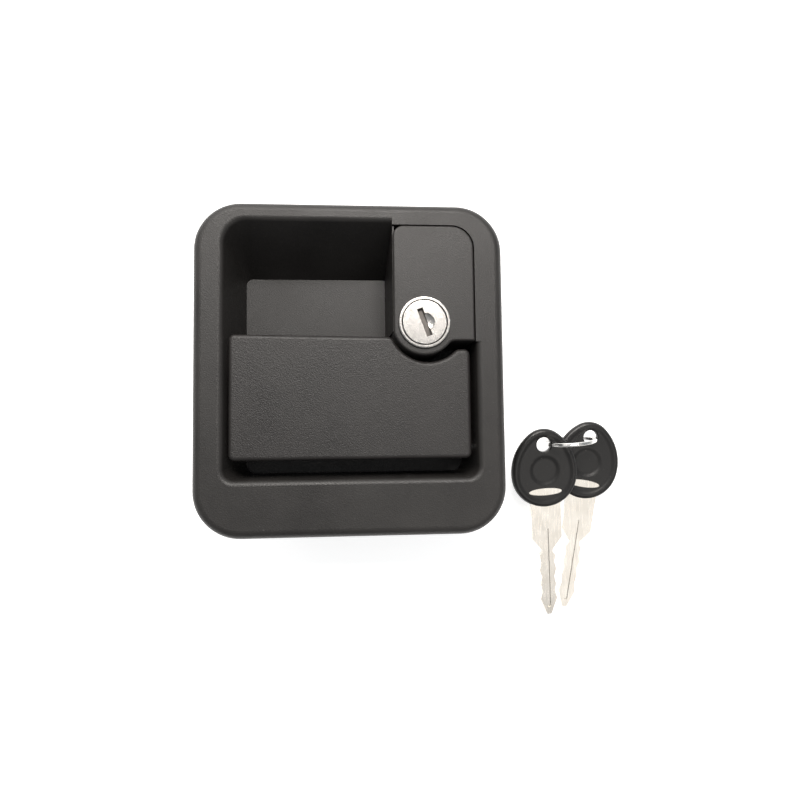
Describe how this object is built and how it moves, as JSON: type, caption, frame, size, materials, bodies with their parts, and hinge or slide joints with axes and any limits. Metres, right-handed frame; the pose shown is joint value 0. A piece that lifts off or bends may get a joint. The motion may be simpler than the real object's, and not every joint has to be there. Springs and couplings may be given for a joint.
{
  "type": "caravan door lock",
  "caption": "Flush caravan door lock with a sprung paddle over a finger pocket, a key barrel, a side latch bolt and keys on a split ring",
  "frame": {"origin": "middle of the four studs in the plane of the gasket's rear face, which lies on the door skin", "axes": "+Z points out of the lock face, away from the door; +Y is up on the door; +X is to the right, the side of the latch bolt and the loose keys"},
  "size_m": [0.168, 0.1595, 0.042],
  "materials": {
    "dark_plastic": "fine moulded grain, warm dark grey",
    "paddle_plastic": "fine moulded grain, warm dark grey",
    "gasket_rubber": "soft black foam rubber",
    "zinc_steel": "bright zinc plate",
    "nickel": "polished nickel plate",
    "brass_wafer": "raw brass",
    "spring_steel": "drawn spring wire",
    "shutter_black": "black dust shutter",
    "key_plastic": "black satin plastic key head",
    "bolt_plastic": "dark filled nylon"
  },
  "bodies": {
    "lock_case": {"bezel": "dark_plastic", "gasket": "gasket_rubber", "mounting_studs": "zinc_steel", "barrel_housing": "dark_plastic", "hinge_pin": "zinc_steel", "hinge_clips": "spring_steel", "lock_barrel": "nickel", "barrel_clip": "spring_steel", "chassis": "zinc_steel", "chassis_screws": "zinc_steel", "guide_rivets": "zinc_steel", "crank_pivot": "zinc_steel", "bolt_keeper": "zinc_steel"},
    "paddle_group": {"paddle": "paddle_plastic", "paddle_spring": "spring_steel"},
    "plug_group": {"lock_plug": "nickel", "wafers": "brass_wafer", "keyway_shutter": "shutter_black", "cam": "zinc_steel"},
    "slide_group": {"transfer_slide": "zinc_steel", "finger_rivets": "zinc_steel"},
    "finger_group": {"clutch_finger": "zinc_steel"},
    "crank_group": {"crank": "zinc_steel"},
    "bolt_group": {"latch_bolt": "bolt_plastic"},
    "ring_group": {"split_ring": "nickel"},
    "key_front": {"key_front_blade": "nickel", "key_front_head": "key_plastic"},
    "key_rear": {"key_rear_blade": "nickel", "key_rear_head": "key_plastic"}
  },
  "joints": [
    {"name": "paddle_hinge", "type": "hinge", "parent": "lock_case", "child": "paddle_group", "pos_m": [0, -0.029, -0.007], "axis": [1, 0, 0], "range_deg": [0, 30], "stiffness_Nm_per_rad": 0.12, "springref_deg": -20.05},
    {"name": "plug_turn", "type": "hinge", "parent": "lock_case", "child": "plug_group", "pos_m": [0.0267, 0.0164, 0], "axis": [0, 0, -1], "range_deg": [0, 90]},
    {"name": "slide_travel", "type": "slide", "parent": "lock_case", "child": "slide_group", "axis": [0, 1, 0], "range_m": [0, 0.0116]},
    {"name": "crank_turn", "type": "hinge", "parent": "lock_case", "child": "crank_group", "pos_m": [0.04, -0.00735, -0.029], "axis": [0, 0, -1], "range_deg": [0, 40]},
    {"name": "bolt_travel", "type": "slide", "parent": "lock_case", "child": "bolt_group", "axis": [-1, 0, 0], "range_m": [0, 0.0106]},
    {"name": "finger_shift", "type": "slide", "parent": "slide_group", "child": "finger_group", "axis": [-1, 0, 0], "range_m": [0, 0.0093]},
    {"name": "keys_lift", "type": "slide", "parent": "lock_case", "child": "ring_group", "axis": [0, 0, 1], "range_m": [0, 0.04]},
    {"name": "key_front_swing", "type": "hinge", "parent": "ring_group", "child": "key_front", "pos_m": [0.0782, -0.0286, -0.0226], "axis": [-0.0091, 0.1579, -0.9874], "range_deg": [0, 15]},
    {"name": "key_rear_swing", "type": "hinge", "parent": "ring_group", "child": "key_rear", "pos_m": [0.1, -0.0259, -0.0282], "axis": [-0.0127, -0.0787, 0.9968], "range_deg": [0, 25]}
  ],
  "couplings": [
    {"joint": "slide_travel", "follows": "paddle_hinge", "m_per_rad": 0.022},
    {"joint": "crank_turn", "follows": "paddle_hinge", "ratio": 1.327},
    {"joint": "bolt_travel", "follows": "paddle_hinge", "m_per_rad": 0.02005},
    {"joint": "finger_shift", "follows": "plug_turn", "m_per_rad": 0.00586}
  ]
}
